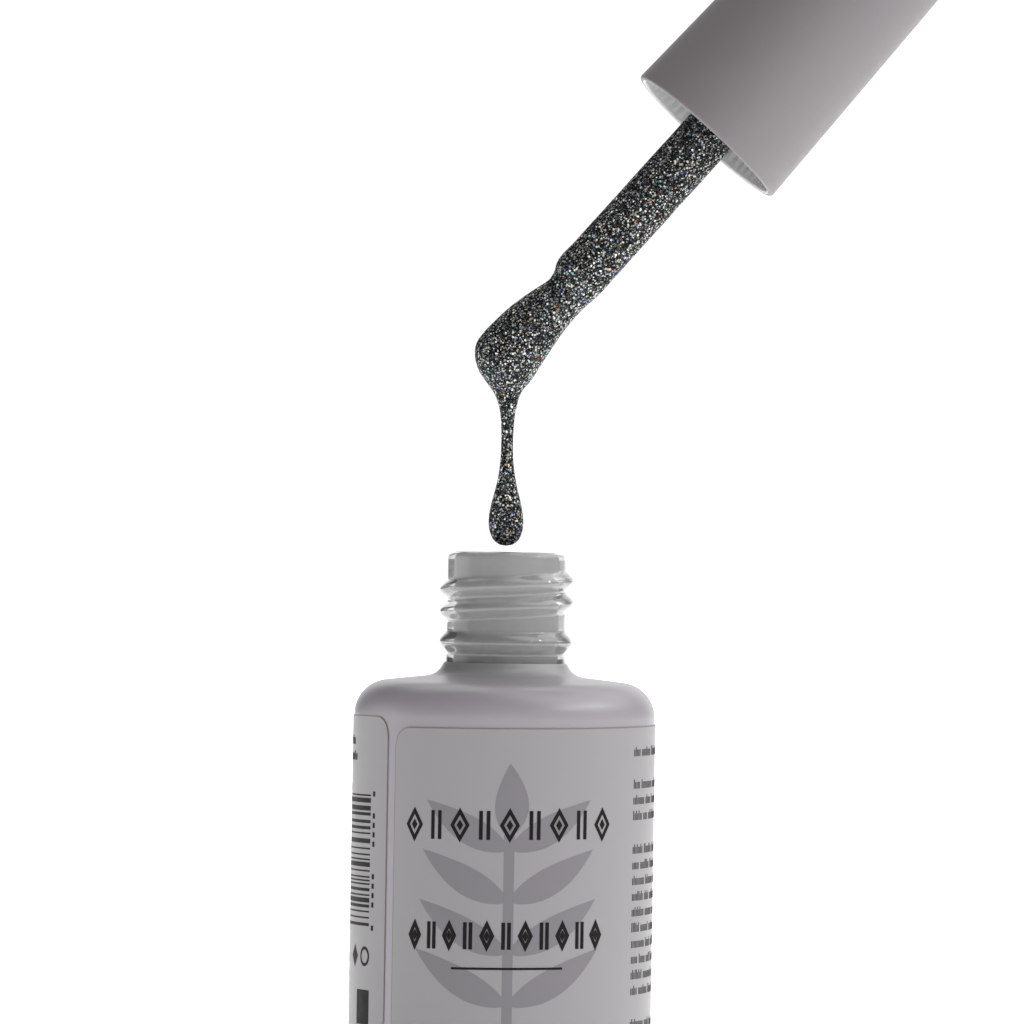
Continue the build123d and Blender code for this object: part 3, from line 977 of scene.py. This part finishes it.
# ---------------------------------------------------------------------------------- the applicator
@dataclass
class Wand:
    """The wand's own frame: its Z axis runs from the brush to the cap, from the middle of the cap's mouth."""

    def __post_init__(self) -> None:
        """Read the wand's axis from the joints and the cap's mouth from the CAD overcap."""
        joints = {joint["name"]: joint for joint in frame["joints"]}
        turn, swing = joints["cap_turn"], joints["applicator_swing"]
        towards_cap = -Vector(turn["axis"]).normalized()
        pivot = Vector(turn["pos_m"])
        mouth = min((v.co - pivot).dot(towards_cap) for v in frame["nodes"]["overcap"].data.vertices)
        back = -Vector(swing["axis"]).normalized()
        across = back.cross(towards_cap)
        self.origin = pivot + towards_cap * mouth
        self.matrix = Matrix((across, back, towards_cap)).transposed().to_4x4()
        self.matrix.translation = self.origin

    def place(self, piece: bpy.types.Object) -> None:
        """Move a piece that was drawn in the wand's frame to where the wand is held."""
        piece.data.transform(self.matrix)
        piece.data.update()


@dataclass
class Overcap:
    """The tapered outer cap, closed at its top and ribbed inside its mouth."""

    wand: Wand
    mouth_radius: float = 8.6 * MM
    length: float = 38.0 * MM
    taper: float = 1.83
    wall: float = 0.75 * MM
    lip: float = 0.28 * MM
    top_radius: float = 0.9 * MM
    top_thickness: float = 1.5 * MM
    rib_start: float = 0.5 * MM
    seat: float = 14.95 * MM
    seat_step: float = 0.5 * MM
    rib_height: float = 0.32 * MM
    rib_count: int = 52
    steps_per_rib: int = 8

    def radius(self, height: float) -> float:
        """The outside radius at a height above the mouth."""
        return self.mouth_radius - height * math.tan(math.radians(self.taper))

    def shell(self) -> bpy.types.Object:
        """The turned shell with its ribs."""
        inner = [
            (self.radius(0) - self.wall, 0.0),
            (self.radius(self.rib_start) - self.wall, self.rib_start),
            (self.radius(self.seat) - self.wall, self.seat),
        ]
        step = self.radius(self.seat) - self.wall - self.rib_height - self.seat_step
        top = self.length - self.top_thickness
        hollow = [(step, self.seat), (step - (top - self.seat) * math.tan(math.radians(self.taper)), top)]
        outer = rounded(
            [
                (0.0, self.length),
                (self.radius(self.length), self.length),
                (self.radius(0), 0.0),
                inner[0],
                inner[1],
            ],
            [self.top_radius, self.lip, self.lip],
        )
        outline = spaced(outer, 1.5 * MM)[:-1] + spaced(inner[1:], 1.2 * MM) + hollow + [(0.0, top)]
        piece = lathe("overcap_shell", outline, self.rib_count * self.steps_per_rib)
        low, high = self.rib_start * 0.99, self.seat * 1.001

        def rib(radius: float, azimuth: float, height: float) -> float:
            """Sharp ribs on the inner wall between the lip and the seat."""
            wall = self.radius(height) - self.wall
            if not low < height < high or abs(radius - wall) > 0.02 * MM:
                return 0.0
            share = (azimuth / FULL_TURN * self.rib_count) % 1.0
            start = min(1.0, (height - low) / (0.35 * MM))
            return -self.rib_height * (1 - abs(2 * share - 1)) * start

        radial_shift(piece, rib)
        smooth(piece, 30.0)
        piece.data.materials.append(OVERCAP.material())
        piece.data.materials.append(CAP_INSIDE.material())
        for face in piece.data.polygons:
            across = face.center.xy.length
            below_top = face.center.z < self.length - self.top_thickness / 2
            bare = below_top and across < self.radius(face.center.z) - 0.62 * self.wall
            face.material_index = int(bare)
        self.wand.place(piece)
        return piece

    def build(self) -> None:
        """Make and dress the overcap, and dress the CAD pieces inside it."""
        settle(self.shell(), Body.APPLICATOR, ["overcap"])
        finishes = {
            "inner_cap": CLOSURE,
            "seal_liner": FOAM,
            "stem": STEM,
            "bristles": FILAMENT,
            "brush_anchor": BrushedSteel(),
        }
        for node, finish in finishes.items():
            part = frame["nodes"][node]
            part.data.materials.clear()
            part.data.materials.append(finish.material())
            log.info("%s: dressed as it is", node)


@dataclass(frozen=True)
class Ring:
    """One cross-section of the gel's skin: its centre, the way that the gel runs and its radius."""

    centre: Vector
    along: Vector
    radius: float


@dataclass
class LoadedBrush:
    """The gel film on the stem, the bead on the brush and the drop that hangs from it.

    The film and the bead are one skin. The string and the drop are a piece of their own.
    """

    wand: Wand
    film_radius: float = 2.61
    film_top: float = -4.6
    film_end: float = 18.3
    bead_sections: tuple[tuple[float, float, float], ...] = (
        (18.75, 2.50, 2.58),
        (19.3, 2.20, 2.50),
        (20.0, 1.98, 2.40),
        (21.2, 2.15, 2.36),
        (22.3, 2.45, 2.38),
        (23.6, 2.76, 2.50),
        (25.2, 3.03, 2.72),
        (26.9, 3.19, 2.98),
    )
    nose_sections: tuple[tuple[float, float, float, float], ...] = (
        (-2.50, 72.30, 2.85, 68.90),
        (-3.28, 71.15, 2.32, 68.00),
        (-3.48, 70.20, 1.98, 67.50),
        (-3.34, 69.25, 1.68, 67.15),
        (-2.95, 68.30, 1.40, 66.85),
        (-2.38, 67.45, 1.18, 66.50),
        (-1.80, 66.70, 0.98, 66.10),
        (-1.35, 66.00, 0.82, 65.70),
    )
    drop_sections: tuple[tuple[float, float, float], ...] = (
        (-0.16, 65.2, 0.90),
        (-0.17, 64.4, 0.73),
        (-0.17, 63.2, 0.62),
        (-0.18, 61.6, 0.575),
        (-0.18, 60.0, 0.62),
        (-0.17, 58.4, 0.80),
        (-0.17, 57.0, 1.09),
        (-0.17, 55.7, 1.43),
        (-0.17, 54.5, 1.65),
        (-0.16, 53.5, 1.67),
        (-0.15, 52.6, 1.46),
        (-0.15, 51.98, 1.08),
        (-0.15, 51.68, 0.62),
        (-0.15, 51.58, 0.0),
    )
    hidden_lead: float = 0.7
    drop_y: float = -0.1
    anchor_height: float = 67.9
    spacing: float = 0.3
    sides: int = 56
    ripple: float = 0.05

    def on_wand(self, depth: float, upper: float, lower: float) -> Ring:
        """A section square to the wand: its depth below the mouth and its reach to either side."""
        turn = self.wand.matrix.to_3x3()
        tip, side = -turn.col[2], turn.col[0]
        offset = (lower - upper) / 2
        return Ring(self.wand.origin + (tip * depth + side * offset) * MM, tip, (upper + lower) / 2 * MM)

    def between(self, left: float, left_up: float, right: float, right_up: float) -> Ring:
        """A section whose left and right edges are known, seen from the front."""
        start, end = Vector((left, 0.0, left_up)) * MM, Vector((right, 0.0, right_up)) * MM
        share = (self.bead_level() - left_up) / (self.bead_level() - self.drop_sections[0][1])
        across = Vector((0.0, self.drop_y * min(max(share, 0.0), 1.0) * MM, 0.0))
        along = Vector((0, 1, 0)).cross(start - end).normalized()
        along = along if along.z < 0 else -along
        return Ring((start + end) / 2 + across, along, (end - start).length / 2)

    def bead_level(self) -> float:
        """How high the first section of the nose stands."""
        return self.nose_sections[0][1]

    def hanging(self) -> list[Ring]:
        """The sections of the string and the drop."""
        return [
            Ring(Vector((x, self.drop_y, z)) * MM, Vector((0, 0, -1)), radius * MM)
            for x, z, radius in self.drop_sections
        ]

    def coated(self) -> list[Ring]:
        """The sections of the film and the bead, down to where the string starts."""
        depths = np.linspace(self.film_top, self.film_end, 12)
        film = [self.on_wand(depth, self.film_radius, self.film_radius) for depth in depths]
        bead = [self.on_wand(*section) for section in self.bead_sections]
        nose = [self.between(*section) for section in self.nose_sections]
        return film + bead + nose + self.hanging()[:1]

    def through(self, rings: Sequence[Ring]) -> list[Ring]:
        """Close-set sections on a smooth curve through the given ones."""
        knots = np.array([[*ring.centre, *(ring.along * MM), ring.radius] for ring in rings])
        ends = np.vstack([2 * knots[0] - knots[1], knots, 2 * knots[-1] - knots[-2]])
        made = []
        for index in range(len(rings) - 1):
            before, start, end, after = ends[index:index + 4]
            count = max(1, round(float(np.linalg.norm(end[:3] - start[:3])) / (self.spacing * MM)))
            steps = ((before, start), (start, end), (end, after))
            spans = [max(float(np.linalg.norm(b[[0, 1, 2, 6]] - a[[0, 1, 2, 6]])), 1e-9) for a, b in steps]
            leave = (start - before) / spans[0] * spans[1] + (end - start) / spans[1] * spans[0]
            leave = spans[1] * leave / (spans[0] + spans[1])
            arrive = (end - start) / spans[1] * spans[2] + (after - end) / spans[2] * spans[1]
            arrive = spans[1] * arrive / (spans[1] + spans[2])
            for step in range(count):
                t = step / count
                made.append(
                    (2 * t**3 - 3 * t**2 + 1) * start + (t**3 - 2 * t**2 + t) * leave
                    + (3 * t**2 - 2 * t**3) * end + (t**3 - t**2) * arrive
                )
        made.append(knots[-1])
        return [Ring(Vector(row[:3]), Vector(row[3:6]).normalized(), max(float(row[6]), 0.0)) for row in made]

    def tube(self, name: str, rings: Sequence[Ring]) -> bpy.types.Object:
        """A closed tube through sections.

        Args:
            name: The new piece's name.
            rings: The sections, in order. One of no width closes to a point.

        Returns:
            The piece.
        """
        deselect_all()
        bpy.ops.mesh.primitive_cylinder_add(vertices=self.sides, radius=MM, depth=MM, end_fill_type="NGON")
        piece = bpy.context.object
        piece.name = piece.data.name = name
        points = piece.data.vertices
        for edge in piece.data.edges:
            low, high = (points[corner].co.z for corner in edge.vertices)
            edge.select = low * high < 0
        for face in piece.data.polygons:
            face.select = False
        for point in points:
            point.select = False
        bpy.ops.object.mode_set(mode="EDIT")
        bpy.ops.mesh.select_mode(type="EDGE")
        bpy.ops.object.mode_set(mode="OBJECT")
        for edge in piece.data.edges:
            low, high = (piece.data.vertices[corner].co.z for corner in edge.vertices)
            edge.select = low * high < 0
        bpy.ops.object.mode_set(mode="EDIT")
        bpy.ops.mesh.subdivide(number_cuts=len(rings) - 2)
        bpy.ops.object.mode_set(mode="OBJECT")
        back = self.wand.matrix.to_3x3().col[1]
        for point in piece.data.vertices:
            level = round((0.5 - point.co.z / MM) * (len(rings) - 1))
            ring = rings[level]
            spoke = math.atan2(point.co.y, point.co.x)
            outward = back.cross(ring.along).normalized()
            behind = ring.along.cross(outward).normalized()
            point.co = ring.centre + (outward * math.cos(spoke) + behind * math.sin(spoke)) * ring.radius
        activate(piece)
        bpy.ops.object.mode_set(mode="EDIT")
        bpy.ops.mesh.select_all(action="SELECT")
        bpy.ops.mesh.remove_doubles(threshold=1e-6)
        bpy.ops.mesh.normals_make_consistent(inside=False)
        bpy.ops.object.mode_set(mode="OBJECT")
        return piece

    def build(self) -> None:
        """Make the coated wand and the hanging drop."""
        coated = self.through(self.coated())
        coat = self.tube("gel_coat", coated)
        ripple = bpy.data.textures.new("gel_ripple", "CLOUDS")
        ripple.noise_scale = 1.6 * MM
        group = coat.vertex_groups.new(name="rippled")
        join_height = self.drop_sections[0][1] * MM
        for point in coat.data.vertices:
            weight = (point.co.z - join_height - 0.5 * MM) / (2 * MM)
            group.add([point.index], min(max(weight, 0.0), 1.0), "REPLACE")
        apply_modifier(
            coat,
            "DISPLACE",
            texture=ripple,
            strength=self.ripple * MM,
            texture_coords="LOCAL",
            vertex_group="rippled",
        )
        smooth(coat, 60.0)
        dress(coat, GlitterGel(), Body.CARRIED, ["gel_on_stem", "gel_bead"])
        inside = [ring for ring in coated if 0 < ring.centre.z - join_height < self.hidden_lead * MM]
        lead = [Ring(ring.centre, ring.along, ring.radius - 0.02 * MM) for ring in inside]
        drop = self.tube("gel_string_and_drop", lead + self.through(self.hanging()))
        smooth(drop, 60.0)
        dress(drop, GlitterGel(), Body.CARRIED, ["gel_drop"])
        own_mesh(drop)


# ---------------------------------------------------------------------------------- the studio
@dataclass(frozen=True)
class Glow:
    """A soft patch of the room's light: the way to it, its edge and middle as cosines, its strength."""

    towards: tuple[float, float, float]
    edge: float
    middle: float
    strength: float


@dataclass
class Studio:
    """A pale floor, soft light and a long-lens camera level with the bottle's rim."""

    distance: float = 650.0 * MM
    eye_height: float = 51.7 * MM
    aim_height: float = 54.85 * MM
    aim_across: float = 0.4 * MM
    lens: float = 236.6
    roll: float = 0.95
    floor_size: float = 4.0
    room: float = 0.05
    backdrop: float = 1.1
    glows: tuple[Glow, ...] = (
        Glow((0.52, 0.12, 0.84), 0.70, 0.92, 1.75),
        Glow((-0.15, 0.50, 0.85), 0.92, 0.98, 1.5),
        Glow((0.1, 1.0, 0.20), 0.80, 0.96, 1.2),
        Glow((-1.0, 0.22, 0.0), 0.88, 0.95, 0.72),
        Glow((0.75, -0.60, 0.0), 0.10, 0.95, 0.22),
        Glow((-0.45, -0.85, 0.0), 0.20, 0.95, 0.04),
    )
    lamps: tuple[tuple[float, float], ...] = ((52.0, 0.43), (70.0, 0.44), (86.0, 0.43))
    lamp_distance: float = 0.6
    lamp_size: float = 0.035
    lamp_power: float = 0.26

    def floor(self) -> None:
        """The floor that the bottle stands on."""
        deselect_all()
        bpy.ops.mesh.primitive_plane_add(size=self.floor_size)
        floor = bpy.context.object
        floor.name = "studio_floor"
        nodes = Nodes("studio_floor")
        pale = nodes.mix(nodes.noise(30.0), (0.86, 0.86, 0.86), (0.88, 0.88, 0.88))
        nodes.link(pale, nodes.shader.inputs["Base Color"])
        nodes.set(Roughness=0.95, Specular_IOR_Level=0.0)
        nodes.set(Emission_Color=(1.0, 1.0, 1.0, 1.0), Emission_Strength=0.95)
        floor.data.materials.append(nodes.material)

    def world(self) -> None:
        """A room that is dark above, with a bright wall behind and a window on the left."""
        world = bpy.data.worlds.new("studio_room")
        bpy.context.scene.world = world
        world.use_nodes = True
        tree = world.node_tree
        coordinates = tree.nodes.new("ShaderNodeTexCoord")
        total = None
        for glow in self.glows:
            facing = tree.nodes.new("ShaderNodeVectorMath")
            facing.operation = "DOT_PRODUCT"
            tree.links.new(coordinates.outputs["Generated"], facing.inputs[0])
            facing.inputs[1].default_value = Vector(glow.towards).normalized()
            soft = tree.nodes.new("ShaderNodeMapRange")
            soft.interpolation_type = "SMOOTHSTEP"
            limits = {"From Min": glow.edge, "From Max": glow.middle, "To Min": 0.0, "To Max": glow.strength}
            for name, value in limits.items():
                soft.inputs[name].default_value = value
            tree.links.new(facing.outputs["Value"], soft.inputs["Value"])
            both = tree.nodes.new("ShaderNodeMath")
            both.inputs[1].default_value = self.room
            tree.links.new(soft.outputs["Result"], both.inputs[0])
            if total:
                tree.links.new(total, both.inputs[1])
            total = both.outputs["Value"]
        sight = tree.nodes.new("ShaderNodeLightPath")
        choose = tree.nodes.new("ShaderNodeMix")
        choose.inputs[3].default_value = self.backdrop
        tree.links.new(sight.outputs["Is Camera Ray"], choose.inputs[0])
        tree.links.new(total, choose.inputs[2])
        tree.links.new(choose.outputs[0], tree.nodes["Background"].inputs["Strength"])
        tree.nodes["Background"].inputs["Color"].default_value = (1, 1, 1, 1)

    def lamp(self, name: str, azimuth: float, height: float) -> None:
        """A small square lamp that faces the bottle's neck.

        Args:
            name: The lamp's name.
            azimuth: Degrees to the right of the camera.
            height: Height above the floor.
        """
        light = bpy.data.lights.new(name, "AREA")
        light.size, light.energy = self.lamp_size, self.lamp_power
        lamp = bpy.data.objects.new(name, light)
        bpy.context.scene.collection.objects.link(lamp)
        turn = math.radians(azimuth)
        place = Vector((math.sin(turn) * self.lamp_distance, -math.cos(turn) * self.lamp_distance, height))
        lamp.location = place
        lamp.rotation_euler = (Vector((0, 0, 0.05)) - place).to_track_quat("-Z", "Y").to_euler()

    def camera(self) -> None:
        """The camera, turned slightly about its own axis."""
        camera = bpy.data.cameras.new("long_lens")
        camera.lens, camera.sensor_width = self.lens, 36.0
        camera.clip_start, camera.clip_end = 0.01, 20.0
        holder = bpy.data.objects.new("long_lens", camera)
        bpy.context.scene.collection.objects.link(holder)
        place = Vector((self.aim_across, -self.distance, self.eye_height))
        aim = Vector((self.aim_across, 0.0, self.aim_height))
        turn = (aim - place).to_track_quat("-Z", "Y").to_matrix()
        holder.location = place
        holder.rotation_euler = (turn @ Matrix.Rotation(math.radians(self.roll), 3, "Z")).to_euler()
        bpy.context.scene.camera = holder

    def build(self) -> None:
        """Set the stage."""
        self.floor()
        self.world()
        for index, (azimuth, height) in enumerate(self.lamps):
            self.lamp(f"lamp_{index}", azimuth, height)
        self.camera()
        settings = bpy.context.scene.view_settings
        settings.view_transform = "Standard"
        settings.look = "None"


def main() -> None:
    """Build every piece in order."""
    logging.basicConfig(level=logging.INFO, format="%(message)s")
    Bottle().build()
    Label().build()
    wand = Wand()
    Overcap(wand).build()
    LoadedBrush(wand).build()
    Studio().build()


if __name__ == "__main__":
    main()
